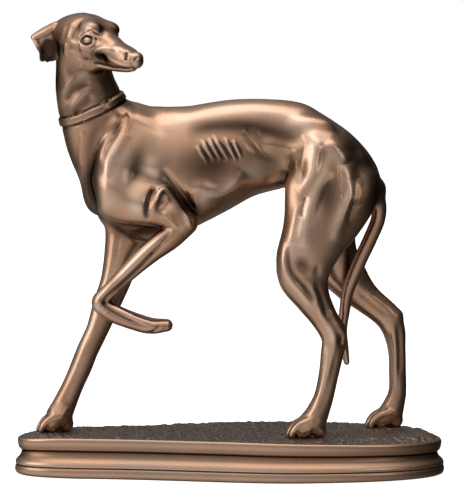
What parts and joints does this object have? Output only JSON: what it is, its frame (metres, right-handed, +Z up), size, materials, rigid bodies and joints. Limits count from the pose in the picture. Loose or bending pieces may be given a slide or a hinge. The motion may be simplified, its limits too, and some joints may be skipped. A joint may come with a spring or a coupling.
{
  "type": "whippet figure",
  "caption": "Standing whippet with one foreleg raised and its head turned, cast in one with its collar, on an oval moulded plinth.",
  "frame": {"origin": "middle of the plinth's underside, on the surface that it stands on", "axes": "+Z up; -X towards the dog's head end; -Y towards the dog's left side, the side the picture shows"},
  "size_m": [0.2357, 0.0842, 0.2501],
  "materials": {
    "plinth": "dark brown bronze patina, rubbed brighter on the mouldings",
    "whippet": "satin brown bronze patina, rubbed brighter on what stands out"
  },
  "bodies": {
    "root": {"plinth": "plinth", "whippet": "whippet"}
  },
  "joints": []
}
